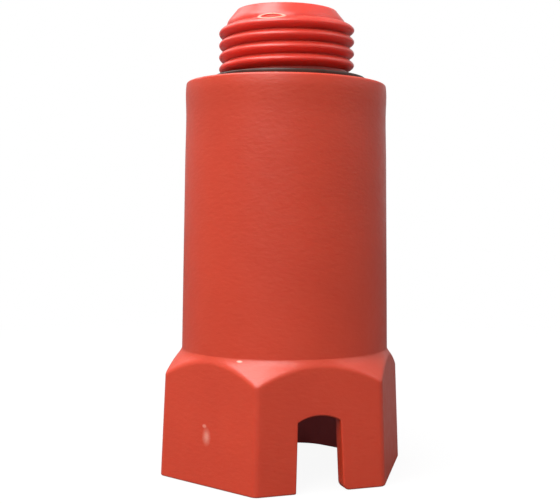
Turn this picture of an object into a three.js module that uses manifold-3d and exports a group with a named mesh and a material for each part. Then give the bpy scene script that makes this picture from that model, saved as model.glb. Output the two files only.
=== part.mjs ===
// Long construction plug: it closes a G 1/2 pipe connection while the wall round it is plastered.
// Two pieces: one hollow plastic moulding (threaded spigot, barrel, hexagonal skirt) and a rubber
// seal ring that lies loose on the shoulder under the thread.
//
// Millimetres, +Z up. The origin is the centre of the skirt's open rim, on the plane that the plug
// stands on. The thread points along +Z, and the skirt's two slotted faces look along -Y and +Y.

import * as THREE from 'three';
import { mergeVertices } from 'three/addons/utils/BufferGeometryUtils.js';
import Module from 'manifold-3d';

const wasm = await Module();
wasm.setup();

const TURN = 2 * Math.PI;
const DEGREE = Math.PI / 180;

// ---- Driving dimensions ----------------------------------------------------------------------

// G 1/2 pipe thread, right-handed
const THREAD_CREST_RADIUS = 20.955 / 2;
const THREAD_ROOT_RADIUS = 9.3;
const THREAD_PITCH = 1.814;
const THREAD_CREST_HALF = 0.15;
const THREAD_FOOT_HALF = 0.85;
const THREAD_TURNS = 4.0;
const THREAD_FADE_TURNS = 0.2;
const THREAD_START_ANGLE = 51 * DEGREE;
const THREAD_START_HEIGHT = 1.65;
const THREAD_FOOT_HEIGHT = 0.7;
const THREAD_TOP_HEIGHT = 9.35;

// Spigot above the shoulder
const SPIGOT_LENGTH = 11.3;
const NOSE_CONE_LENGTH = 1.9;
const NOSE_END_RADIUS = 7.72;
const SPIGOT_BORE_RADIUS = 7.1;
const SPIGOT_BORE_TAPER = 0.3;
const NOSE_WALL = 2.0;
const NOSE_SIDE_WALL = 2.2;

// Barrel
const SHOULDER_HEIGHT = 59.6;
const BARREL_TOP_RADIUS = 15.44;
const BARREL_FOOT_RADIUS = 16.0;
const BARREL_FOOT_HEIGHT = 18.86;
const RIM_ROUNDING = 0.5;
const WALL = 2.0;

// Hexagonal skirt. Its chamfer is a short steep cone under the barrel, then a 44 degree one
const SKIRT_HALF_FLATS = 17.08;
const SKIRT_DRAFT = 0.0379;
const SKIRT_CORNER_RADIUS = 1.3;
const CHAMFER_STEEP_DEPTH = 1.1;
const CHAMFER_STEEP_SPREAD = 0.663;
const CHAMFER_SPREAD = 0.975;
const CHAMFER_DEPTH = 6;

// Recess inside the skirt
const RECESS_HALF_FLATS = 14.7;
const RECESS_CORNER_RADIUS = 6.5;
const RECESS_DEPTH = 14.5;

// Slot across the skirt
const SLOT_SHIFT = -0.12;
const SLOT_TOP_HALF = 3.2;
const SLOT_FOOT_HALF = 3.55;
const SLOT_SIDE_HEIGHT = 10.05;
const SLOT_CROWN_HEIGHT = 10.9;
const SLOT_FOOT_ROUNDING = 1.0;

// Seal ring
const RING_INNER_RADIUS = 10.1;
const RING_OUTER_RADIUS = 11.85;
const RING_THICKNESS = 0.9;
const RING_EDGE_ROUNDING = 0.18;
const RING_GAP = 0.2;
const RING_SHIFT = 0.5;
const RING_SHIFT_ANGLE = -18 * DEGREE;

// Facets
const ROUND_SEGMENTS = 60;
const CAVITY_SEGMENTS = 48;
const THREAD_ROWS_PER_PITCH = 6;
const SKIRT_CORNER_SEGMENTS = 5;
const RECESS_CORNER_SEGMENTS = 8;
const SLOT_CURVE_SEGMENTS = 6;

// How far the middle of a quarter round stands in from its corner, as a share of its radius
const ROUND_MIDDLE = 1 - Math.SQRT1_2;
// How far a solid reaches past a face that it cuts through or overlaps
const OVERLAP = 1;

// ---- Materials -------------------------------------------------------------------------------

const redPlastic = new THREE.MeshStandardMaterial({ color: 0xd2503c, roughness: 0.5, metalness: 0 });
const blackRubber = new THREE.MeshStandardMaterial({ color: 0x2c2826, roughness: 0.6, metalness: 0 });

// ---- Solids ----------------------------------------------------------------------------------

function toSolid(geometry) {
  const bare = geometry.clone();
  bare.deleteAttribute('normal');
  bare.deleteAttribute('uv');
  const merged = mergeVertices(bare, 1e-5);
  return new wasm.Manifold(new wasm.Mesh({
    numProp: 3,
    vertProperties: new Float32Array(merged.attributes.position.array),
    triVerts: new Uint32Array(merged.index.array),
  }));
}

function toGeometry(solid) {
  const mesh = solid.getMesh();
  const geometry = new THREE.BufferGeometry();
  geometry.setAttribute('position', new THREE.BufferAttribute(new Float32Array(mesh.vertProperties), 3));
  geometry.setIndex(new THREE.BufferAttribute(new Uint32Array(mesh.triVerts), 1));
  geometry.computeVertexNormals();
  return geometry;
}

// A shape of revolution about Z. Each profile point is [radius, height], from the foot upwards.
function turned(profile, segments) {
  const points = profile.map(([radius, height]) => new THREE.Vector2(radius, height));
  return new THREE.LatheGeometry(points, segments).rotateX(Math.PI / 2);
}

// A hexagon with round corners. Two of its faces look along -Y and +Y.
function hexagonShape(halfFlats, cornerRadius) {
  const shape = new THREE.Shape();
  const centreDistance = (halfFlats - cornerRadius) / Math.cos(Math.PI / 6);
  for (let corner = 0; corner < 6; corner += 1) {
    const angle = corner * Math.PI / 3;
    const x = centreDistance * Math.cos(angle);
    const y = centreDistance * Math.sin(angle);
    shape.absarc(x, y, cornerRadius, angle - Math.PI / 6, angle + Math.PI / 6, false);
  }
  shape.closePath();
  return shape;
}

// A prism from height bottom to height top that narrows as it rises, by draft for each unit of
// height. The shape is its section at height 0.
function draftedPrism(shape, halfFlats, bottom, top, draft, curveSegments) {
  const geometry = new THREE.ExtrudeGeometry(shape, {
    depth: top - bottom, bevelEnabled: false, curveSegments,
  }).translate(0, 0, bottom);
  const position = geometry.attributes.position;
  for (let i = 0; i < position.count; i += 1) {
    const scale = 1 - draft * position.getZ(i) / halfFlats;
    position.setXY(i, position.getX(i) * scale, position.getY(i) * scale);
  }
  return toSolid(geometry);
}

// ---- Thread ----------------------------------------------------------------------------------

// How far the thread stands out of its root at this angle and height above the shoulder. The ridge
// winds up round the spigot as a right-hand helix and fades out at both of its ends.
function threadHeight(angle, height) {
  const turnOfAngle = THREE.MathUtils.euclideanModulo(angle - THREAD_START_ANGLE, TURN) / TURN;
  const turnOfHeight = (height - THREAD_START_HEIGHT) / THREAD_PITCH;
  const turn = Math.round(turnOfHeight - turnOfAngle) + turnOfAngle;
  const offset = Math.abs(turnOfHeight - turn) * THREAD_PITCH;
  const flank = 1 - THREE.MathUtils.smoothstep(offset, THREAD_CREST_HALF, THREAD_FOOT_HALF);
  const started = THREE.MathUtils.smoothstep(turn, 0, THREAD_FADE_TURNS);
  const ended = 1 - THREE.MathUtils.smoothstep(turn, THREAD_TURNS - THREAD_FADE_TURNS, THREAD_TURNS);
  return (THREAD_CREST_RADIUS - THREAD_ROOT_RADIUS) * flank * started * ended;
}

// Rows of root points up the threaded stretch, close enough together to carry the ridge.
function threadedStretch() {
  const rows = [];
  const step = THREAD_PITCH / THREAD_ROWS_PER_PITCH;
  for (let height = THREAD_FOOT_HEIGHT; height < THREAD_TOP_HEIGHT; height += step) {
    rows.push([THREAD_ROOT_RADIUS, SHOULDER_HEIGHT + height]);
  }
  return rows;
}

function raiseThread(geometry) {
  const position = geometry.attributes.position;
  for (let i = 0; i < position.count; i += 1) {
    const height = position.getZ(i) - SHOULDER_HEIGHT;
    const radius = Math.hypot(position.getX(i), position.getY(i));
    const onRoot = Math.abs(radius - THREAD_ROOT_RADIUS) < 0.001;
    if (onRoot && height > THREAD_FOOT_HEIGHT && height < THREAD_TOP_HEIGHT) {
      const angle = Math.atan2(position.getY(i), position.getX(i));
      const scale = 1 + threadHeight(angle, height) / radius;
      position.setXY(i, position.getX(i) * scale, position.getY(i) * scale);
    }
  }
  return geometry;
}

// ---- Plug ------------------------------------------------------------------------------------

function barrelAndSpigot() {
  const noseEnd = SHOULDER_HEIGHT + SPIGOT_LENGTH;
  return toSolid(raiseThread(turned([
    [0, OVERLAP],
    [BARREL_FOOT_RADIUS, OVERLAP],
    [BARREL_FOOT_RADIUS, BARREL_FOOT_HEIGHT],
    [BARREL_TOP_RADIUS, SHOULDER_HEIGHT - RIM_ROUNDING],
    [BARREL_TOP_RADIUS - ROUND_MIDDLE * RIM_ROUNDING, SHOULDER_HEIGHT - ROUND_MIDDLE * RIM_ROUNDING],
    [BARREL_TOP_RADIUS - RIM_ROUNDING, SHOULDER_HEIGHT],
    [THREAD_ROOT_RADIUS, SHOULDER_HEIGHT],
    ...threadedStretch(),
    [THREAD_ROOT_RADIUS, noseEnd - NOSE_CONE_LENGTH],
    [NOSE_END_RADIUS, noseEnd],
    [0, noseEnd],
  ], ROUND_SEGMENTS)));
}

// The hexagon under a cone: the cone's cut gives each face its arched top.
function skirt() {
  const prism = draftedPrism(
    hexagonShape(SKIRT_HALF_FLATS, SKIRT_CORNER_RADIUS),
    SKIRT_HALF_FLATS, 0, BARREL_FOOT_HEIGHT, SKIRT_DRAFT, SKIRT_CORNER_SEGMENTS,
  );
  const steepFootRadius = BARREL_FOOT_RADIUS + CHAMFER_STEEP_SPREAD * CHAMFER_STEEP_DEPTH;
  const footRadius = steepFootRadius + CHAMFER_SPREAD * (CHAMFER_DEPTH - CHAMFER_STEEP_DEPTH);
  const cone = toSolid(turned([
    [0, -OVERLAP],
    [footRadius, -OVERLAP],
    [footRadius, BARREL_FOOT_HEIGHT - CHAMFER_DEPTH],
    [steepFootRadius, BARREL_FOOT_HEIGHT - CHAMFER_STEEP_DEPTH],
    [BARREL_FOOT_RADIUS, BARREL_FOOT_HEIGHT],
    [0, BARREL_FOOT_HEIGHT],
  ], ROUND_SEGMENTS));
  return prism.intersect(cone);
}

function cavity() {
  const recess = draftedPrism(
    hexagonShape(RECESS_HALF_FLATS, RECESS_CORNER_RADIUS),
    RECESS_HALF_FLATS, -OVERLAP, RECESS_DEPTH, SKIRT_DRAFT, RECESS_CORNER_SEGMENTS,
  );
  const noseInside = SHOULDER_HEIGHT + SPIGOT_LENGTH - NOSE_WALL;
  const bore = toSolid(turned([
    [0, -OVERLAP],
    [BARREL_FOOT_RADIUS - WALL, -OVERLAP],
    [BARREL_FOOT_RADIUS - WALL, BARREL_FOOT_HEIGHT],
    [BARREL_TOP_RADIUS - WALL, SHOULDER_HEIGHT - WALL],
    [SPIGOT_BORE_RADIUS, SHOULDER_HEIGHT - WALL],
    [SPIGOT_BORE_RADIUS - SPIGOT_BORE_TAPER, noseInside - OVERLAP],
    [NOSE_END_RADIUS - NOSE_SIDE_WALL, noseInside],
    [0, noseInside],
  ], CAVITY_SEGMENTS));
  return recess.add(bore);
}

// The slot runs right across the skirt, so that a flat bar can turn the plug. It widens towards the
// rim, its top is a low arch, and one of its two feet is rounded.
function slotCut() {
  const archRise = SLOT_CROWN_HEIGHT - SLOT_SIDE_HEIGHT;
  const archRadius = (SLOT_TOP_HALF ** 2 + archRise ** 2) / (2 * archRise);
  const archCentre = SLOT_CROWN_HEIGHT - archRadius;
  const archHalfAngle = Math.asin(SLOT_TOP_HALF / archRadius);
  const round = SLOT_FOOT_ROUNDING;
  const shape = new THREE.Shape();
  shape.moveTo(-SLOT_FOOT_HALF, -OVERLAP);
  shape.lineTo(SLOT_FOOT_HALF + round, -OVERLAP);
  shape.lineTo(SLOT_FOOT_HALF + round, 0);
  shape.absarc(SLOT_FOOT_HALF + round, round, round, 1.5 * Math.PI, Math.PI, true);
  shape.absarc(0, archCentre, archRadius, Math.PI / 2 - archHalfAngle, Math.PI / 2 + archHalfAngle, false);
  shape.closePath();
  const reach = 2 * SKIRT_HALF_FLATS;
  return toSolid(new THREE.ExtrudeGeometry(shape, {
    depth: 2 * reach, bevelEnabled: false, curveSegments: SLOT_CURVE_SEGMENTS,
  }).rotateX(Math.PI / 2).translate(SLOT_SHIFT, reach, 0));
}

function plugGeometry() {
  const outside = barrelAndSpigot().add(skirt());
  return toGeometry(outside.subtract(cavity()).subtract(slotCut()));
}

// ---- Seal ring -------------------------------------------------------------------------------

function sealRingGeometry() {
  const edge = RING_EDGE_ROUNDING;
  const profile = [
    [RING_INNER_RADIUS + edge, 0],
    [RING_OUTER_RADIUS - edge, 0],
    [RING_OUTER_RADIUS, edge],
    [RING_OUTER_RADIUS, RING_THICKNESS - edge],
    [RING_OUTER_RADIUS - edge, RING_THICKNESS],
    [RING_INNER_RADIUS + edge, RING_THICKNESS],
    [RING_INNER_RADIUS, RING_THICKNESS - edge],
    [RING_INNER_RADIUS, edge],
    [RING_INNER_RADIUS + edge, 0],
  ];
  return turned(profile, CAVITY_SEGMENTS);
}

// ---- Assembly --------------------------------------------------------------------------------

const group = new THREE.Group();

const plug = new THREE.Mesh(plugGeometry(), redPlastic);
plug.name = 'plug_body';
group.add(plug);

const sealRing = new THREE.Mesh(sealRingGeometry(), blackRubber);
sealRing.name = 'seal_ring';
sealRing.position.set(
  RING_SHIFT * Math.cos(RING_SHIFT_ANGLE),
  RING_SHIFT * Math.sin(RING_SHIFT_ANGLE),
  SHOULDER_HEIGHT + RING_GAP,
);
group.add(sealRing);

export default group;
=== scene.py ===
"""Long construction plug: the looks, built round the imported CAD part.

Two pieces. The red plug is one hollow moulding (threaded spigot, barrel, hexagonal skirt), modelled
as one closed skin. The black seal ring lies loose on the shoulder under the thread.

The geometry is written in millimetres and turned into metres where a mesh is made. +Z is up, and
the slotted faces of the skirt look along -Y and +Y, as in the CAD.
"""

from math import asin, atan2, ceil, cos, floor, hypot, pi, radians, sin, tan

import bmesh
import bpy
from mathutils import Matrix, Vector


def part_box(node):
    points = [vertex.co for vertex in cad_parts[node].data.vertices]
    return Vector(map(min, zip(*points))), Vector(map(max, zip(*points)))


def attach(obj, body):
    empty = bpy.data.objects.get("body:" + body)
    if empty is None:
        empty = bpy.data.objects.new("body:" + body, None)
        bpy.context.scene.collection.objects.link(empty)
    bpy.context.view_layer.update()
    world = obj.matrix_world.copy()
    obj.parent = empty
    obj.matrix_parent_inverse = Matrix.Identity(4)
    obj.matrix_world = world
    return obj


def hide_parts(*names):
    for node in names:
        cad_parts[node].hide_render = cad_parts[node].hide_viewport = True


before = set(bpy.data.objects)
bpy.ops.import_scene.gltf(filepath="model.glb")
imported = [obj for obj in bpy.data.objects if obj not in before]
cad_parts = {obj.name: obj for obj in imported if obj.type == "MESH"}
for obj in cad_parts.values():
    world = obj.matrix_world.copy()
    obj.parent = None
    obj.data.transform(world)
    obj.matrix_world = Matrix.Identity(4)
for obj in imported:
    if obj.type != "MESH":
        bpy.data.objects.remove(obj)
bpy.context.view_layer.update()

MM = 0.001

# ---- Sizes, in millimetres --------------------------------------------------------------------

plug_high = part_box("plug_body")[1] / MM
ring_low, ring_high = (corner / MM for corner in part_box("seal_ring"))

# Spigot, measured from the shoulder up. The nose's rounding starts at an angle above level, in
# degrees, where the cone meets it
SPIGOT_LENGTH = 11.3
SHOULDER = plug_high.z - SPIGOT_LENGTH
ROOT_RADIUS = 9.3
NECK_FILLET = 0.3
NOSE_CONE_LENGTH = 1.9
NOSE_END_RADIUS = 7.72
NOSE_ROUNDING = 0.12
NOSE_ROUNDING_START = 15
NOSE_EASE = 0.6
NOSE_CENTRE_RADIUS = 0.6 * NOSE_END_RADIUS

# G 1/2 thread. The ridge starts and ends softly within THREAD_FADE turns
CREST_RADIUS = 20.955 / 2
PITCH = 1.814
THREAD_TURNS = 4.0
THREAD_FADE = 0.2
THREAD_START_ANGLE = radians(51)
THREAD_START_HEIGHT = 1.65
GROOVE_SHARPNESS = 1.9
GROOVE_SHARE = 0.85
THREAD_FOOT = 0.6
THREAD_HEAD = 9.4
THREAD_ROW = 0.06

# Barrel. It swells and sinks slightly, over stretches that are measured down from the shoulder
BARREL_FOOT_RADIUS = 16.0
BARREL_TOP_RADIUS = 15.44
BARREL_FOOT = 18.86
BARREL_SWELL = 0.08
SWELL_END = (1.5, 4.5)
BARREL_SINK = 0.05
SINK_START = (3.0, 5.5)
SINK_END = (6.0, 12.0)
RIM_ROUNDING = 0.35
RIM_EASE = 0.12
RIM_EASE_LENGTH = 1.8

# Hexagonal skirt
HALF_FLATS = 17.08
DRAFT = 0.0379
CORNER_RADIUS = 1.3
EDGE_ROUNDING = 0.25
EDGE_SEGMENTS = 3

# The skin's walls are plain polygons up to this height, and rows of quads above it
FACE_SPLIT = 12.5

# Chamfer: it leaves the barrel steeply and eases into a cone
CHAMFER_START_SLOPE = 0.35
CHAMFER_EASE = 0.284
CHAMFER_EASE_LENGTH = 1.1
CREASE_SOFTNESS = 0.45
CREASE_BAND = 0.7
CREASE_BAND_SHARE = 0.8

# Hollow inside
RECESS_HALF_FLATS = 14.7
RECESS_CORNER_RADIUS = 6.5
RECESS_DEPTH = 14.5
WALL = 2.0
BORE_RADIUS = 7.1
BORE_END_RADIUS = 6.8
NOSE_WALL = 2.0
INNER_ROUNDING = 0.4
LEDGE_MIDDLE = 0.3
MOUTH_ROUNDING = 0.1
BORE_END_ROUNDING = 1.0
# How far the rows of a bore stay away from its ends
ROW_MARGIN = 1.0

# Slot through both the -Y and the +Y face
SLOT_SHIFT = -0.12
SLOT_TOP_HALF = 3.2
SLOT_FOOT_HALF = 3.55
SLOT_SIDE = 10.05
SLOT_CROWN = 10.9
SLOT_FOOT_ROUNDING = 1.0

# Parting seam along the thread, at -Y and +Y
SEAM_HEIGHT = 0.08
SEAM_HALF_ANGLE = radians(1)

# Gate scar on the spigot, between the last turn of the thread and the cone
SCAR_ANGLE = radians(-122.1)
SCAR_HEIGHT = 8.93
SCAR_HALF_LENGTH = 1.95
SCAR_HALF_WIDTH = 0.4
SCAR_RIM = 0.16
SCAR_RIM_WIDTH = 0.35
SCAR_DIMPLE = 0.08
SCAR_DIMPLE_EDGE = (0.4, 0.8)
SCAR_DEPTH = 2.0

# Flow mark and fleck on the face to the left of the slot, and a painted glint (a small pale spot
# that stands in for a highlight) on the chamfer above its corner. The sizes are half the depth,
# width and height of an oval
FLOW_MARK_ANGLE = radians(-150)
FLOW_MARK_SHIFT = -0.06
FLOW_MARK_HEIGHT = 7.2
FLOW_MARK_SIZE = (1.4, 0.95, 1.45)
FLECK_SHIFT = -0.54
FLECK_HEIGHT = 8.7
FLECK_SIZE = (0.5, 0.5, 0.35)
PAINTED_GLINT_ANGLE = radians(-131.5)
PAINTED_GLINT_HEIGHT = 18.5
PAINTED_GLINT_SIZE = (0.5, 0.55, 0.18)

# Seal ring
RING_WIDTH = 1.75
RING_ROUNDING = 0.3

# Steps round and along the skin
FLAT_STEPS = 28
CORNER_STEPS = 8
INNER_FLAT_STEPS = 8
INNER_CORNER_STEPS = 12
ARC_STEPS = 6
INNER_ARC_STEPS = 4
MOUTH_STEPS = 2
BORE_END_STEPS = 5
RING_STEPS = 160
SLOT_ARCH_STEPS = 14
SLOT_FOOT_STEPS = 8
FACE_STEPS = 3
CREASE_STEPS = 6
CHAMFER_STEPS = 8
CREASE_SEARCH_STEPS = 40
BARREL_STEPS = 38
RIM_EASE_STEPS = 8
BORE_STEPS = 12
SPIGOT_BORE_STEPS = 4

# Heights of the barrel's two lowest rows above its foot
BARREL_FIRST_ROW = 0.1
BARREL_SECOND_ROW = 0.4


# ---- Small helpers ----------------------------------------------------------------------------

def mix(a, b, share):
    return a + (b - a) * share


def smoothstep(low, high, value):
    share = min(max((value - low) / (high - low), 0.0), 1.0)
    return share * share * (3 - 2 * share)


def soft_min(a, b, softness):
    """The smaller of two numbers, with a round crossing where they are alike."""
    share = max(softness - abs(a - b), 0.0) / softness
    return min(a, b) - share * share * softness / 4


def quarter(centre, radius, start, end, steps):
    """Points of an arc from one angle to another, as (radius, height)."""
    angles = [radians(mix(start, end, i / steps)) for i in range(steps + 1)]
    return [(centre[0] + radius * cos(a), centre[1] + radius * sin(a)) for a in angles]


class Skin:
    """Vertices and faces of a closed skin, in millimetres."""

    def __init__(self):
        self.points = []
        self.faces = []
        self.soft_edges = []

    def point(self, x, y, z):
        self.points.append((x * MM, y * MM, z * MM))
        return len(self.points) - 1

    def ring(self, angles, radius, height):
        """A closed ring of points. Radius and height are numbers or functions of the angle."""
        def at(value, angle):
            return value(angle) if callable(value) else value
        return [
            self.point(at(radius, a) * cos(a), at(radius, a) * sin(a), at(height, a))
            for a in angles
        ]

    def join(self, lower, upper):
        """A band of four-sided faces between two rings with as many points."""
        count = len(lower)
        for i in range(count):
            after = (i + 1) % count
            self.faces.append((lower[i], lower[after], upper[after], upper[i]))

    def stack(self, first, angles, profile):
        """Rings for each (radius, height) of the profile, joined upwards from the first ring."""
        last = first
        for radius, height in profile:
            ring = self.ring(angles, radius, height)
            self.join(last, ring)
            last = ring
        return last

    def soften(self, chain):
        """The edges along this chain of points are rounded later."""
        self.soft_edges.extend(zip(chain, chain[1:]))


def mesh_object(name, skin, material, rounding=0.0):
    """A piece made from its skin, with the soft edges rounded."""
    mesh = bpy.data.meshes.new(name)
    mesh.from_pydata(skin.points, [], skin.faces)
    bm = bmesh.new()
    bm.from_mesh(mesh)
    bm.verts.ensure_lookup_table()
    bmesh.ops.recalc_face_normals(bm, faces=bm.faces)
    edges = [bm.edges.get((bm.verts[a], bm.verts[b])) for a, b in skin.soft_edges]
    if edges:
        bmesh.ops.bevel(
            bm, geom=edges, offset=rounding * MM, segments=EDGE_SEGMENTS, profile=0.5,
            affect="EDGES", clamp_overlap=False,
        )
    for face in bm.faces:
        face.smooth = True
    bm.to_mesh(mesh)
    bm.free()
    mesh.materials.append(material)
    thing = bpy.data.objects.new(name, mesh)
    bpy.context.scene.collection.objects.link(thing)
    normals = thing.modifiers.new("weighted normals", "WEIGHTED_NORMAL")
    normals.mode = "FACE_AREA"
    normals.keep_sharp = True
    return thing


# ---- Hexagons ---------------------------------------------------------------------------------

class Hexagon:
    """The columns round a hexagon with round corners: each corner's arc, then the flat after it."""

    def __init__(self, half_flats, corner_radius, corner_steps, flat_steps):
        self.half_flats = half_flats
        self.corner_steps = corner_steps
        self.flat_steps = flat_steps
        self.angles = []
        self.radii = {}
        reach = (half_flats - corner_radius) / cos(pi / 6)
        half_flat = (half_flats - corner_radius) * tan(pi / 6)
        for side in range(6):
            for i in range(corner_steps):
                swing = (i / corner_steps - 0.5) * pi / 3
                x = reach + corner_radius * cos(swing)
                y = corner_radius * sin(swing)
                self._add(side * pi / 3, x, y)
            for i in range(flat_steps):
                along = (2 * i / flat_steps - 1) * half_flat
                self._add((side + 0.5) * pi / 3, half_flats, along)

    def _add(self, turn, x, y):
        angle = turn + atan2(y, x)
        self.angles.append(angle)
        self.radii[angle] = hypot(x, y)

    def scale(self, height):
        return 1 - DRAFT * height / self.half_flats

    def radius(self, angle, height):
        return self.radii[angle] * self.scale(height)

    def corner(self, side):
        """Numbers of the columns along one corner's arc, both ends included."""
        start = side * (self.corner_steps + self.flat_steps)
        return [(start + i) % len(self.angles) for i in range(self.corner_steps + 1)]

    def flat(self, side):
        """Numbers of the columns along one flat, both ends included."""
        start = side * (self.corner_steps + self.flat_steps) + self.corner_steps
        return [(start + i) % len(self.angles) for i in range(self.flat_steps + 1)]


# The slotted sides look along +Y and -Y. The corners of each half of the rim lie between them
SLOTTED_SIDES = (1, 4)
RIM_HALVES = ((2, 3, 4), (5, 6, 7))
outer_hexagon = Hexagon(HALF_FLATS, CORNER_RADIUS, CORNER_STEPS, FLAT_STEPS)
inner_hexagon = Hexagon(
    RECESS_HALF_FLATS, RECESS_CORNER_RADIUS, INNER_CORNER_STEPS, INNER_FLAT_STEPS,
)


def slot_outline():
    """The slot's outline as (x, height), from the sharp foot at -X to the round foot at +X."""
    rise = SLOT_CROWN - SLOT_SIDE
    arch_radius = (SLOT_TOP_HALF ** 2 + rise ** 2) / (2 * rise)
    half_angle = asin(SLOT_TOP_HALF / arch_radius)
    outline = [(-SLOT_FOOT_HALF, 0.0)]
    for i in range(SLOT_ARCH_STEPS + 1):
        angle = mix(-half_angle, half_angle, i / SLOT_ARCH_STEPS)
        outline.append((arch_radius * sin(angle), SLOT_CROWN - arch_radius * (1 - cos(angle))))
    for i in range(SLOT_FOOT_STEPS + 1):
        angle = i / SLOT_FOOT_STEPS * pi / 2
        outline.append((
            SLOT_FOOT_HALF + SLOT_FOOT_ROUNDING * (1 - cos(angle)),
            SLOT_FOOT_ROUNDING * (1 - sin(angle)),
        ))
    return [(x + SLOT_SHIFT, z) for x, z in outline]


def slot_points(skin, hexagon, side):
    """The slot's outline on one wall of a hexagon, in the order of rising angle."""
    sign = 1 if side == 1 else -1
    points = [
        skin.point(x, sign * (hexagon.half_flats - DRAFT * z), z) for x, z in slot_outline()
    ]
    return points[::-1] if side == 1 else points


def hexagon_wall(skin, hexagon):
    """The wall of a hexagon from the rim to FACE_SPLIT. Returns its top ring, its foot points by
    column, and the slot outlines by side."""
    top = skin.ring(
        hexagon.angles, lambda angle: hexagon.radius(angle, FACE_SPLIT), FACE_SPLIT,
    )
    foot = {}
    outlines = {}
    for side in range(6):
        columns = hexagon.corner(side)
        for column in columns:
            angle = hexagon.angles[column]
            radius = hexagon.radii[angle]
            foot[column] = skin.point(radius * cos(angle), radius * sin(angle), 0)
        for a, b in zip(columns, columns[1:]):
            skin.faces.append((foot[a], foot[b], top[b], top[a]))
        skin.soften([foot[column] for column in columns])
    for side in range(6):
        columns = hexagon.flat(side)
        outline = slot_points(skin, hexagon, side) if side in SLOTTED_SIDES else []
        low = [foot[columns[0]], *outline, foot[columns[-1]]]
        skin.faces.append((*low, *[top[column] for column in reversed(columns)]))
        skin.soften(low)
        outlines[side] = outline
    return top, foot, outlines


def rim_half(skin, first, second, sides):
    """One half of the flat rim, between the two slots, with the corners of these sides."""
    loops = []
    for hexagon, (_, foot, outlines) in ((outer_hexagon, first), (inner_hexagon, second)):
        loop = [outlines[sides[0] - 1][-1]]
        for side in sides:
            loop.extend(foot[column] for column in hexagon.corner(side % 6))
        loop.append(outlines[sides[-1] % 6][0])
        loops.append(loop)
    skin.faces.append((*loops[0], *reversed(loops[1])))


# ---- Profiles ---------------------------------------------------------------------------------

def chamfer_radius(height):
    """The chamfer's radius at a height: an eased start under the barrel, then a straight cone."""
    down = BARREL_FOOT - height
    eased = min(max(down, 0.0), CHAMFER_EASE_LENGTH)
    cone_slope = CHAMFER_START_SLOPE + 2 * CHAMFER_EASE * CHAMFER_EASE_LENGTH
    radius = BARREL_FOOT_RADIUS + CHAMFER_START_SLOPE * eased + CHAMFER_EASE * eased ** 2
    return radius + cone_slope * (down - eased)


def skirt_radius(angle, height):
    return soft_min(outer_hexagon.radius(angle, height), chamfer_radius(height), CREASE_SOFTNESS)


def crease_height(angle):
    """Where the chamfer meets the hexagon at this angle."""
    low, high = FACE_SPLIT, BARREL_FOOT
    for _ in range(CREASE_SEARCH_STEPS):
        middle = (low + high) / 2
        if outer_hexagon.radius(angle, middle) < chamfer_radius(middle):
            low = middle
        else:
            high = middle
    return low


def chamfer_rows():
    """Heights of the rows from FACE_SPLIT to the barrel, as functions of the angle."""
    creases = {angle: crease_height(angle) for angle in outer_hexagon.angles}

    def band_low(angle):
        return creases[angle] - CREASE_BAND

    def band_high(angle):
        return creases[angle] + min(CREASE_BAND, CREASE_BAND_SHARE * (BARREL_FOOT - creases[angle]))

    stretches = [
        (lambda angle: FACE_SPLIT, band_low, FACE_STEPS),
        (band_low, lambda angle: creases[angle], CREASE_STEPS),
        (lambda angle: creases[angle], band_high, CREASE_STEPS),
        (band_high, lambda angle: BARREL_FOOT, CHAMFER_STEPS),
    ]
    for low, high, steps in stretches:
        for i in range(1, steps + 1):
            share = i / steps
            yield lambda angle, low=low, high=high, share=share: mix(low(angle), high(angle), share)


def barrel_radius(height):
    """A straight draft, with a slight swell under the shoulder and a slight sink below that."""
    share = (height - BARREL_FOOT) / (SHOULDER - BARREL_FOOT)
    below = SHOULDER - height
    swell = BARREL_SWELL * (1 - smoothstep(*SWELL_END, below))
    sink = BARREL_SINK * smoothstep(*SINK_START, below) * (1 - smoothstep(*SINK_END, below))
    ease = RIM_EASE * max(1 - below / RIM_EASE_LENGTH, 0.0) ** 2
    return mix(BARREL_FOOT_RADIUS, BARREL_TOP_RADIUS, share) + swell - sink - ease


def barrel_profile():
    last = SHOULDER - RIM_ROUNDING
    eased = SHOULDER - RIM_EASE_LENGTH
    second = BARREL_FOOT + BARREL_SECOND_ROW
    rows = [BARREL_FOOT + BARREL_FIRST_ROW]
    rows += [mix(second, eased, i / BARREL_STEPS) for i in range(BARREL_STEPS)]
    rows += [mix(eased, last, i / RIM_EASE_STEPS) for i in range(RIM_EASE_STEPS)]
    profile = [(barrel_radius(height), height) for height in rows]
    top = barrel_radius(last)
    return profile + quarter((top - RIM_ROUNDING, last), RIM_ROUNDING, 0, 90, ARC_STEPS)


def thread_height(angle, height):
    """How far the thread stands out of the spigot: a right-hand helix, faded out at both ends."""
    turn_of_angle = ((angle - THREAD_START_ANGLE) / (2 * pi)) % 1.0
    turn_of_height = (height - THREAD_START_HEIGHT) / PITCH
    turn = floor(turn_of_height - turn_of_angle + 0.5) + turn_of_angle
    offset = abs(turn_of_height - turn) * 2
    ridge = max(1 - GROOVE_SHARE * offset ** GROOVE_SHARPNESS, 0.0)
    started = smoothstep(0, THREAD_FADE, turn)
    ended = 1 - smoothstep(THREAD_TURNS - THREAD_FADE, THREAD_TURNS, turn)
    return (CREST_RADIUS - ROOT_RADIUS) * ridge * started * ended


def scar_height(angle, height):
    """The gate scar: a pointed oval with a raised rim round a shallow dimple."""
    across = ((angle - SCAR_ANGLE + pi) % (2 * pi) - pi) * ROOT_RADIUS / SCAR_HALF_LENGTH
    up = (height - SCAR_HEIGHT) / SCAR_HALF_WIDTH
    distance = abs(up) + across ** 2
    rim = max(1 - abs(distance - 1) / SCAR_RIM_WIDTH, 0.0)
    dimple = 1 - smoothstep(*SCAR_DIMPLE_EDGE, distance)
    return SCAR_RIM * rim * rim * (3 - 2 * rim) - SCAR_DIMPLE * dimple


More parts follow.
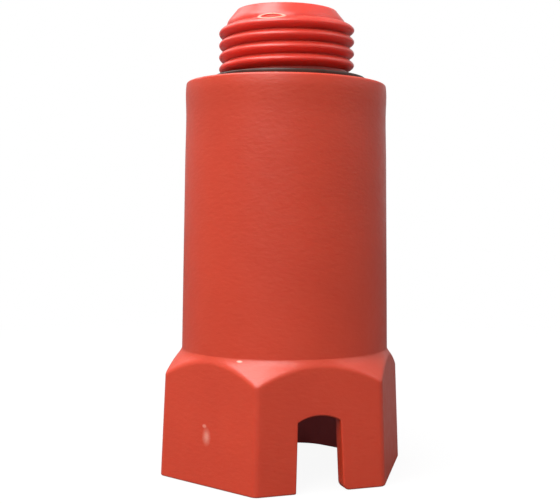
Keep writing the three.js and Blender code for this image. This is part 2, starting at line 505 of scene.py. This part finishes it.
def spigot_radius(angle, height):
    """The spigot's radius at an angle and a height above the shoulder."""
    up_cone = NOSE_CONE_LENGTH - (SPIGOT_LENGTH - height)
    cone = -soft_min(-up_cone, 0.0, NOSE_EASE) * (ROOT_RADIUS - NOSE_END_RADIUS) / NOSE_CONE_LENGTH
    thread = thread_height(angle, height) if THREAD_FOOT < height < THREAD_HEAD else 0.0
    on_seam = thread and abs(abs(angle % (2 * pi) - pi) - pi / 2) < SEAM_HALF_ANGLE
    seam = SEAM_HEIGHT if on_seam else 0.0
    return ROOT_RADIUS - cone + max(thread, scar_height(angle, height)) + seam


def spigot_profile():
    """Rows up the spigot from the shoulder to the round edge of the nose."""
    neck_centre = (ROOT_RADIUS + NECK_FILLET, SHOULDER + NECK_FILLET)
    neck = quarter(neck_centre, NECK_FILLET, 270, 180, INNER_ARC_STEPS)
    last = SPIGOT_LENGTH - NOSE_ROUNDING
    steps = ceil((last - THREAD_FOOT) / THREAD_ROW)
    heights = [mix(THREAD_FOOT, last, i / steps) for i in range(steps + 1)]
    rows = [
        (lambda angle, h=h: spigot_radius(angle, h), SHOULDER + h) for h in heights
    ]
    end = spigot_radius(0, last)
    edge_centre = (end - NOSE_ROUNDING, SHOULDER + last)
    edge = quarter(edge_centre, NOSE_ROUNDING, NOSE_ROUNDING_START, 90, ARC_STEPS)
    return neck + rows + edge + [(NOSE_CENTRE_RADIUS, SHOULDER + SPIGOT_LENGTH)]


def straight(start, end, steps):
    """Points of a straight line between two (radius, height) points, both included."""
    shares = [i / steps for i in range(steps + 1)]
    return [(mix(start[0], end[0], share), mix(start[1], end[1], share)) for share in shares]


def hollow_profile():
    """The inside above the hexagonal recess: a ledge, the long round bore and the spigot's bore."""
    low_radius = BARREL_FOOT_RADIUS - WALL
    high_radius = BARREL_TOP_RADIUS - WALL
    roof = SHOULDER - WALL
    end = SHOULDER + SPIGOT_LENGTH - NOSE_WALL
    step = INNER_ROUNDING
    part_step = LEDGE_MIDDLE * step
    ledge = [
        (lambda angle: inner_hexagon.radius(angle, RECESS_DEPTH - step), RECESS_DEPTH - step),
        (
            lambda angle: inner_hexagon.radius(angle, RECESS_DEPTH) - part_step,
            RECESS_DEPTH - part_step,
        ),
        (lambda angle: inner_hexagon.radius(angle, RECESS_DEPTH) - step, RECESS_DEPTH),
    ]
    mouth_centre = (low_radius + MOUTH_ROUNDING, RECESS_DEPTH + MOUTH_ROUNDING)
    mouth = quarter(mouth_centre, MOUTH_ROUNDING, 270, 180, MOUTH_STEPS)
    bore = straight(
        (low_radius, RECESS_DEPTH + ROW_MARGIN), (high_radius, roof - ROW_MARGIN), BORE_STEPS,
    )
    turn = quarter((high_radius - step, roof - step), step, 0, 90, INNER_ARC_STEPS)
    throat = quarter((BORE_RADIUS + step, roof + step), step, 270, 180, INNER_ARC_STEPS)
    last = end - BORE_END_ROUNDING
    spigot = straight((BORE_RADIUS, roof + ROW_MARGIN), (BORE_END_RADIUS, last), SPIGOT_BORE_STEPS)
    close_centre = (BORE_END_RADIUS - BORE_END_ROUNDING, last)
    close = quarter(close_centre, BORE_END_ROUNDING, 0, 90, BORE_END_STEPS)
    return ledge + mouth + bore + turn + throat + spigot + close


# ---- Pieces -----------------------------------------------------------------------------------

def build_plug(material):
    skin = Skin()
    outside = hexagon_wall(skin, outer_hexagon)
    inside = hexagon_wall(skin, inner_hexagon)
    for sides in RIM_HALVES:
        rim_half(skin, outside, inside, sides)
    outer_outlines, inner_outlines = outside[-1], inside[-1]
    for side in SLOTTED_SIDES:
        outer, inner = outer_outlines[side], inner_outlines[side]
        for i in range(len(outer) - 1):
            skin.faces.append((outer[i], inner[i], inner[i + 1], outer[i + 1]))
        # The slot's sharp foot is eased too; its other foot is round already
        sharp_foot = -1 if side == 1 else 0
        skin.soften([outer[sharp_foot], inner[sharp_foot]])

    skirt = [
        (lambda angle, row=row: skirt_radius(angle, row(angle)), row) for row in chamfer_rows()
    ]
    angles = outer_hexagon.angles
    ring = skin.stack(outside[0], angles, skirt + barrel_profile() + spigot_profile())
    skin.faces.append(tuple(ring))
    ring = skin.stack(inside[0], inner_hexagon.angles, hollow_profile())
    skin.faces.append(tuple(ring))
    return mesh_object("plug_skin", skin, material, EDGE_ROUNDING)


def build_ring(material):
    """The seal ring: a flat band of rubber with round edges."""
    centre = (ring_low + ring_high) / 2
    outer = (ring_high.x - ring_low.x) / 2
    inner = outer - RING_WIDTH
    half = (ring_high.z - ring_low.z) / 2
    edge = RING_ROUNDING
    section = []
    for x, z, start in (
        (outer - edge, edge - half, -90), (outer - edge, half - edge, 0),
        (inner + edge, half - edge, 90), (inner + edge, edge - half, 180),
    ):
        section += quarter((x, z), edge, start, start + 90, ARC_STEPS)
    skin = Skin()
    angles = [2 * pi * i / RING_STEPS for i in range(RING_STEPS)]
    rings = []
    for radius, height in section:
        rings.append([
            skin.point(centre.x + radius * cos(a), centre.y + radius * sin(a), centre.z + height)
            for a in angles
        ])
    for lower, upper in zip(rings, rings[1:] + rings[:1]):
        skin.join(lower, upper)
    return mesh_object("seal_ring_skin", skin, material)


# ---- Materials --------------------------------------------------------------------------------

# Red plastic: its colours, and the scales of its textures
BODY_RED = (0.515, 0.044, 0.0168)
BODY_RED_PALE = (0.545, 0.048, 0.0185)
SPIGOT_RED = (0.565, 0.042, 0.025)
SPIGOT_RED_PALE = (0.60, 0.047, 0.028)
# Pale red of the flow mark and fleck, also used for the painted highlights of the chamfer glint and
# the scar's rim
PALE_MARK_AND_HIGHLIGHT_RED = (0.92, 0.50, 0.40)
CLOUD_SCALE = 90
CLOUD_STOPS = (0.35, 0.65)
PATCH_SCALE = 600
GRAIN_SCALE = 2500
GRAIN_DEPTH = 0.02
PEEL_SCALE = 1000
PEEL_DEPTH = 0.1
PEEL_FLATNESS = 2.2
# How far red, green and blue light soak in, as shares of the soak's depth
SOAK_REACH = (1.0, 0.3, 0.2)
# On the body and on the spigot
GRAIN_STRENGTH = (0.25, 0.05)
PEEL_STRENGTH = (0.3, 0.0)
SOAK = (0.35, 0.9)
SOAK_DEPTH = (1.5, 2.5)
# From the lowest to the highest roughness
BODY_ROUGHNESS = (0.36, 0.43)
SPIGOT_ROUGHNESS = (0.28, 0.32)
# The range that a noise texture's values mostly lie in
NOISE_RANGE = (0.3, 0.7)
# Heights above the shoulder where the body's plastic turns into the spigot's
SPIGOT_BLEND = (-0.1, 0.3)
# How strongly each mark or painted highlight pales the red, by distance: 0 is its middle and 1 its
# edge
FLOW_MARK_STOPS = ((0.2, 0.38), (0.6, 0.16), (1.0, 0.0))
FLECK_STOPS = ((0.5, 0.3), (1.0, 0.0))
# The glint on the chamfer is a painted highlight
PAINTED_GLINT_STOPS = ((0.5, 0.85), (1.0, 0.0))
# The painted highlight along the scar's raised rim: its oval is twice the scar's own size, so that
# its outline lies halfway out
SCAR_HIGHLIGHT_OVAL = 2
SCAR_RIM_HIGHLIGHT_STOPS = ((0.40, 0.0), (0.46, 0.9), (0.54, 0.9), (0.60, 0.0))
# A faint painted glow (emission) on the skirt's inner walls stands in for light that soaks
# through them. It fades out between these distances from the axis, and between these depths
# under the barrel's foot
PAINTED_WALL_GLOW = (1.0, 0.24, 0.26)
PAINTED_WALL_GLOW_STRENGTH = 0.026
PAINTED_WALL_GLOW_RADII = (15.8, 16.3)
PAINTED_WALL_GLOW_DEPTHS = (1.5, 0.5)

# Black rubber
RUBBER = (0.036, 0.013, 0.009)
RUBBER_PALE = (0.055, 0.024, 0.017)
RUBBER_DUST_SCALE = 900
RUBBER_DUST_STOPS = (0.35, 0.7)
RUBBER_PATCH_SCALE = 1500
RUBBER_ROUGHNESS = (0.32, 0.45)
RUBBER_GRAIN_SCALE = 3000
RUBBER_GRAIN_STRENGTH = 0.2
RUBBER_SPECULAR = 0.3


def new_material(name):
    material = bpy.data.materials.new(name)
    material.use_nodes = True
    nodes = material.node_tree.nodes
    return material, nodes, material.node_tree.links, nodes["Principled BSDF"]


def noise(nodes, links, coordinates, scale, detail):
    node = nodes.new("ShaderNodeTexNoise")
    node.inputs["Scale"].default_value = scale
    node.inputs["Detail"].default_value = detail
    links.new(coordinates, node.inputs["Vector"])
    return node.outputs["Fac"]


def ramp(nodes, links, value, stops):
    """Colours along a value. Each stop is (place, colour)."""
    node = nodes.new("ShaderNodeValToRGB")
    links.new(value, node.inputs["Fac"])
    elements = node.color_ramp.elements
    while len(elements) < len(stops):
        elements.new(0.5)
    for element, (place, colour) in zip(elements, stops):
        element.position = place
        element.color = (*colour, 1)
    return node.outputs["Color"]


def spread(nodes, links, value, low, high, to_low, to_high):
    """The range from low to high, carried over to another range."""
    node = nodes.new("ShaderNodeMapRange")
    links.new(value, node.inputs["Value"])
    for socket, number in (
        ("From Min", low), ("From Max", high), ("To Min", to_low), ("To Max", to_high),
    ):
        node.inputs[socket].default_value = number
    return node.outputs["Result"]


def mix_numbers(nodes, links, share, first, second):
    node = nodes.new("ShaderNodeMix")
    links.new(share, node.inputs["Factor"])
    links.new(first, node.inputs[2])
    links.new(second, node.inputs[3])
    return node.outputs["Result"]


def vector_length(nodes, links, vector):
    node = nodes.new("ShaderNodeVectorMath")
    node.operation = "LENGTH"
    links.new(vector, node.inputs[0])
    return node.outputs["Value"]


def scaled(nodes, links, vector, scale):
    node = nodes.new("ShaderNodeVectorMath")
    node.operation = "MULTIPLY"
    node.inputs[1].default_value = scale
    links.new(vector, node.inputs[0])
    return node.outputs["Vector"]


def bumped(nodes, links, height, depth, normal=None):
    """A bump node for this height, on top of another normal if one is given."""
    node = nodes.new("ShaderNodeBump")
    node.inputs["Distance"].default_value = depth * MM
    links.new(height, node.inputs["Height"])
    if normal:
        links.new(normal, node.inputs["Normal"])
    return node


def mix_colours(nodes, links, share, first, second):
    node = nodes.new("ShaderNodeMix")
    node.data_type = "RGBA"
    links.new(share, node.inputs[0])
    links.new(first, node.inputs[6])
    links.new(second, node.inputs[7])
    return node.outputs[2]


def mix_shaders(nodes, links, share, first, second):
    node = nodes.new("ShaderNodeMixShader")
    links.new(share, node.inputs["Fac"])
    links.new(first, node.inputs[1])
    links.new(second, node.inputs[2])
    return node.outputs["Shader"]


def on_face(angle, shift, height):
    """A point on the skirt face that looks along this angle, this far along it from its middle."""
    reach = HALF_FLATS - DRAFT * height
    x = reach * cos(angle) - shift * sin(angle)
    y = reach * sin(angle) + shift * cos(angle)
    return (x, y, height)


def oval_distance(nodes, links, place, centre, angle, sizes):
    """How far a place lies from a point: 0 at the point, 1 on an oval round it. The sizes are half
    the depth, width and height, in millimetres, of the oval, which faces along this angle."""
    inside = nodes.new("ShaderNodeMapping")
    inside.vector_type = "TEXTURE"
    inside.inputs["Location"].default_value = [number * MM for number in centre]
    inside.inputs["Rotation"].default_value = (0, 0, angle)
    inside.inputs["Scale"].default_value = [size * MM for size in sizes]
    links.new(place, inside.inputs["Vector"])
    return vector_length(nodes, links, inside.outputs["Vector"])


def with_marks_and_highlights(nodes, links, place, clouds, colour):
    """The colour with pale marks and painted highlights on it: flow mark and fleck, a painted glint
    on the chamfer, and a painted highlight along the gate scar's rim.
    """
    flow_centre = on_face(FLOW_MARK_ANGLE, FLOW_MARK_SHIFT, FLOW_MARK_HEIGHT)
    fleck_centre = on_face(FLOW_MARK_ANGLE, FLECK_SHIFT, FLECK_HEIGHT)
    glint_radius = chamfer_radius(PAINTED_GLINT_HEIGHT)
    glint_centre = (glint_radius * cos(PAINTED_GLINT_ANGLE), glint_radius * sin(PAINTED_GLINT_ANGLE), PAINTED_GLINT_HEIGHT)
    scar_highlight_centre = (
        ROOT_RADIUS * cos(SCAR_ANGLE), ROOT_RADIUS * sin(SCAR_ANGLE), SHOULDER + SCAR_HEIGHT,
    )
    scar_highlight_size = [SCAR_HIGHLIGHT_OVAL * size for size in (SCAR_DEPTH, SCAR_HALF_LENGTH, SCAR_HALF_WIDTH)]
    pale = ramp(nodes, links, clouds, [(at, PALE_MARK_AND_HIGHLIGHT_RED) for at in NOISE_RANGE])
    for centre, angle, size, stops in (
        (flow_centre, FLOW_MARK_ANGLE, FLOW_MARK_SIZE, FLOW_MARK_STOPS),
        (fleck_centre, FLOW_MARK_ANGLE, FLECK_SIZE, FLECK_STOPS),
        # painted highlight: a pale glint on the chamfer
        (glint_centre, PAINTED_GLINT_ANGLE, PAINTED_GLINT_SIZE, PAINTED_GLINT_STOPS),
        # painted highlight along the gate scar's raised rim
        (scar_highlight_centre, SCAR_ANGLE, scar_highlight_size, SCAR_RIM_HIGHLIGHT_STOPS),
    ):
        distance = oval_distance(nodes, links, place, centre, angle, size)
        share = ramp(nodes, links, distance, [(at, (grey, grey, grey)) for at, grey in stops])
        colour = mix_colours(nodes, links, share, colour, pale)
    return colour


def painted_wall_glow(nodes, links, place, height):
    """The strength of the painted glow (emission) on the skirt's inner walls."""
    level = scaled(nodes, links, place, (1, 1, 0))
    near, far = (radius * MM for radius in PAINTED_WALL_GLOW_RADII)
    inside = spread(nodes, links, vector_length(nodes, links, level), near, far, 1, 0)
    low, high = ((BARREL_FOOT - depth) * MM for depth in PAINTED_WALL_GLOW_DEPTHS)
    below = spread(nodes, links, height, low, high, PAINTED_WALL_GLOW_STRENGTH, 0)
    both = nodes.new("ShaderNodeMath")
    both.operation = "MULTIPLY"
    links.new(inside, both.inputs[0])
    links.new(below, both.inputs[1])
    return both.outputs["Value"]


def red_plastic():
    """Polypropylene with a fine moulded grain and orange peel: matt on the skirt and barrel, glossy
    on the spigot. Light soaks into it a little, so that thin ridges and edges glow."""
    material, nodes, links, shader = new_material("red_plastic")
    place = nodes.new("ShaderNodeTexCoord").outputs["Object"]
    split = nodes.new("ShaderNodeSeparateXYZ")
    links.new(place, split.inputs["Vector"])
    height = split.outputs["Z"]
    blend_low, blend_high = ((SHOULDER + number) * MM for number in SPIGOT_BLEND)
    on_spigot = spread(nodes, links, height, blend_low, blend_high, 0, 1)

    def by_part(values):
        """A value on the body and another on the spigot."""
        return spread(nodes, links, on_spigot, 0, 1, *values)

    clouds = noise(nodes, links, place, CLOUD_SCALE, detail=3)
    colour = mix_colours(
        nodes, links, on_spigot,
        ramp(nodes, links, clouds, list(zip(CLOUD_STOPS, (BODY_RED, BODY_RED_PALE)))),
        ramp(nodes, links, clouds, list(zip(CLOUD_STOPS, (SPIGOT_RED, SPIGOT_RED_PALE)))),
    )
    colour = with_marks_and_highlights(nodes, links, place, clouds, colour)
    links.new(colour, shader.inputs["Base Color"])

    patches = noise(nodes, links, place, PATCH_SCALE, detail=4)
    roughness = mix_numbers(
        nodes, links, on_spigot,
        spread(nodes, links, patches, *NOISE_RANGE, *BODY_ROUGHNESS),
        spread(nodes, links, clouds, *NOISE_RANGE, *SPIGOT_ROUGHNESS),
    )
    links.new(roughness, shader.inputs["Roughness"])

    grain_noise = noise(nodes, links, place, GRAIN_SCALE, detail=3)
    grain = bumped(nodes, links, grain_noise, GRAIN_DEPTH)
    links.new(by_part(GRAIN_STRENGTH), grain.inputs["Strength"])
    flattened = scaled(nodes, links, place, (1, 1, PEEL_FLATNESS))
    peel_noise = noise(nodes, links, flattened, PEEL_SCALE, detail=2)
    peel = bumped(nodes, links, peel_noise, PEEL_DEPTH, grain.outputs["Normal"])
    links.new(by_part(PEEL_STRENGTH), peel.inputs["Strength"])
    links.new(peel.outputs["Normal"], shader.inputs["Normal"])

    links.new(by_part(SOAK), shader.inputs["Subsurface Weight"])
    links.new(by_part([depth * MM for depth in SOAK_DEPTH]), shader.inputs["Subsurface Scale"])
    shader.inputs["Subsurface Radius"].default_value = SOAK_REACH
    # painted glow: emission on the inner walls in place of light soaking through them
    links.new(painted_wall_glow(nodes, links, place, height), shader.inputs["Emission Strength"])
    shader.inputs["Emission Color"].default_value = (*PAINTED_WALL_GLOW, 1)
    return material


def black_rubber():
    """Satin black rubber with a dusty, slightly brown surface."""
    material, nodes, links, shader = new_material("black_rubber")
    place = nodes.new("ShaderNodeTexCoord").outputs["Object"]
    dust = noise(nodes, links, place, RUBBER_DUST_SCALE, detail=4)
    colour = ramp(nodes, links, dust, list(zip(RUBBER_DUST_STOPS, (RUBBER, RUBBER_PALE))))
    links.new(colour, shader.inputs["Base Color"])
    patches = noise(nodes, links, place, RUBBER_PATCH_SCALE, detail=3)
    roughness = spread(nodes, links, patches, *NOISE_RANGE, *RUBBER_ROUGHNESS)
    links.new(roughness, shader.inputs["Roughness"])
    shader.inputs["Specular IOR Level"].default_value = RUBBER_SPECULAR
    grain_noise = noise(nodes, links, place, RUBBER_GRAIN_SCALE, detail=3)
    grain = bumped(nodes, links, grain_noise, GRAIN_DEPTH)
    grain.inputs["Strength"].default_value = RUBBER_GRAIN_STRENGTH
    links.new(grain.outputs["Normal"], shader.inputs["Normal"])
    return material


# ---- Studio -----------------------------------------------------------------------------------

# The floor: lengths in metres
FLOOR_REACH = 3.0
FLOOR_GAP = 0.05 * MM
FLOOR_PALE = 0.80
FLOOR_PALER = 0.82
FLOOR_CLOUD_SCALE = 3
FLOOR_ROUGHNESS = 0.9
FLOOR_SPECULAR = 0.1
FLOOR_BOUNCE = 0.14
FLOOR_GLOW = 0.93
FLOOR_FADE_START = 0.06
FLOOR_FADE_END = 0.22

# The camera looks at the plug from the side of the slotted face, a little left of square on. It is
# aimed to the right of the plug, and the shift brings the plug back to the middle. Yaw, pitch and
# roll are in radians
VIEW_TURN = radians(17.95)
CAMERA_DISTANCE = 159.94 * MM
CAMERA_HEIGHT = 39.19 * MM
CAMERA_YAW = 0.0484
CAMERA_PITCH = 0.0343
CAMERA_ROLL = 0.0080
CAMERA_LENS = 65.60
CAMERA_SENSOR = 36
CAMERA_SHIFT = -0.0982

# The light: lengths in metres. Each lamp is a square panel: its name, azimuth and elevation in
# degrees, side and watts
WORLD_LIGHT = 0.46
LAMP_DISTANCE = 0.8
LAMP_TARGET = (0, 0, 0.04)
LAMPS = (
    ("key", -26, 50, 0.6, 7.3),
    ("high_left", -86, 68, 0.42, 3.8),
    ("back_left", -136, 42, 0.4, 0.9),
    ("right", 88, 42, 0.6, 1.12),
    ("back_right", 156, 16, 0.4, 0.1),
)


def build_floor():
    """A pale sheet that lies flat under the plug. From above it shows a faint contact shadow and
    fades to white further off, and it throws little light back up. From below it is clear."""
    material, nodes, links, shader = new_material("studio_floor")
    place = nodes.new("ShaderNodeTexCoord").outputs["Object"]
    clouds = noise(nodes, links, place, FLOOR_CLOUD_SCALE, detail=2)
    greys = [(grey, grey, grey) for grey in (FLOOR_PALE, FLOOR_PALER)]
    paper = ramp(nodes, links, clouds, list(zip(NOISE_RANGE, greys)))
    links.new(paper, shader.inputs["Base Color"])
    shader.inputs["Roughness"].default_value = FLOOR_ROUGHNESS
    shader.inputs["Specular IOR Level"].default_value = FLOOR_SPECULAR
    white = nodes.new("ShaderNodeEmission").outputs["Emission"]
    distance = vector_length(nodes, links, place)
    glow = spread(nodes, links, distance, FLOOR_FADE_START, FLOOR_FADE_END, FLOOR_GLOW, 1)
    seen = mix_shaders(nodes, links, glow, shader.outputs["BSDF"], white)
    dim = nodes.new("ShaderNodeBsdfDiffuse")
    dim.inputs["Color"].default_value = (FLOOR_BOUNCE, FLOOR_BOUNCE, FLOOR_BOUNCE, 1)
    camera_ray = nodes.new("ShaderNodeLightPath").outputs["Is Camera Ray"]
    above = mix_shaders(nodes, links, camera_ray, dim.outputs["BSDF"], seen)
    underside = nodes.new("ShaderNodeNewGeometry").outputs["Backfacing"]
    clear = nodes.new("ShaderNodeBsdfTransparent").outputs["BSDF"]
    both = mix_shaders(nodes, links, underside, above, clear)
    links.new(both, nodes["Material Output"].inputs["Surface"])
    mesh = bpy.data.meshes.new("studio_floor")
    corners = [(-1, -1), (1, -1), (1, 1), (-1, 1)]
    points = [(x * FLOOR_REACH, y * FLOOR_REACH, -FLOOR_GAP) for x, y in corners]
    mesh.from_pydata(points, [], [(0, 1, 2, 3)])
    mesh.materials.append(material)
    sheet = bpy.data.objects.new("studio_floor", mesh)
    bpy.context.scene.collection.objects.link(sheet)


def build_world():
    """White to the eye, and a dimmer even light on the object."""
    world = bpy.data.worlds.new("studio")
    bpy.context.scene.world = world
    world.use_nodes = True
    nodes, links = world.node_tree.nodes, world.node_tree.links
    seen = nodes["Background"]
    seen.inputs["Color"].default_value = (1, 1, 1, 1)
    seen.inputs["Strength"].default_value = 1.0
    light = nodes.new("ShaderNodeBackground")
    light.inputs["Color"].default_value = (1, 1, 1, 1)
    light.inputs["Strength"].default_value = WORLD_LIGHT
    path = nodes.new("ShaderNodeLightPath")
    both = mix_shaders(
        nodes, links, path.outputs["Is Camera Ray"],
        light.outputs["Background"], seen.outputs["Background"],
    )
    links.new(both, nodes["World Output"].inputs["Surface"])


def around(azimuth, elevation, distance):
    """A point seen from the object at these angles. Azimuth 0 is the camera's side, and rises to
    the camera's right."""
    angle = radians(azimuth) - VIEW_TURN
    level = distance * cos(radians(elevation))
    return Vector((level * sin(angle), -level * cos(angle), distance * sin(radians(elevation))))


def build_camera():
    data = bpy.data.cameras.new("camera")
    data.lens = CAMERA_LENS
    data.sensor_width = CAMERA_SENSOR
    data.shift_x = CAMERA_SHIFT
    camera = bpy.data.objects.new("camera", data)
    bpy.context.scene.collection.objects.link(camera)
    ahead = Vector((
        sin(CAMERA_YAW) * cos(CAMERA_PITCH),
        cos(CAMERA_YAW) * cos(CAMERA_PITCH),
        -sin(CAMERA_PITCH),
    ))
    level = Vector((cos(CAMERA_YAW), -sin(CAMERA_YAW), 0))
    over = level.cross(ahead)
    right = level * cos(CAMERA_ROLL) + over * sin(CAMERA_ROLL)
    up = over * cos(CAMERA_ROLL) - level * sin(CAMERA_ROLL)
    turn = Matrix.Rotation(-VIEW_TURN, 4, "Z")
    pose = Matrix((right, up, -ahead)).transposed().to_4x4()
    pose.translation = Vector((0, -CAMERA_DISTANCE, CAMERA_HEIGHT))
    camera.matrix_world = turn @ pose
    bpy.context.scene.camera = camera


def build_lamps():
    for name, azimuth, elevation, side, power in LAMPS:
        data = bpy.data.lights.new(name, "AREA")
        data.shape = "SQUARE"
        data.size = side
        data.energy = power
        lamp = bpy.data.objects.new(name, data)
        bpy.context.scene.collection.objects.link(lamp)
        lamp.location = around(azimuth, elevation, LAMP_DISTANCE)
        aim = Vector(LAMP_TARGET) - lamp.location
        lamp.rotation_euler = aim.to_track_quat("-Z", "Y").to_euler()


# ---- Assembly ---------------------------------------------------------------------------------

red = red_plastic()
rubber = black_rubber()

plug = build_plug(red)
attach(plug, "plug")
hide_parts("plug_body")

seal = build_ring(rubber)
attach(seal, "ring")
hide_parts("seal_ring")

build_floor()
build_world()
build_lamps()
build_camera()
bpy.context.scene.view_settings.view_transform = "Standard"
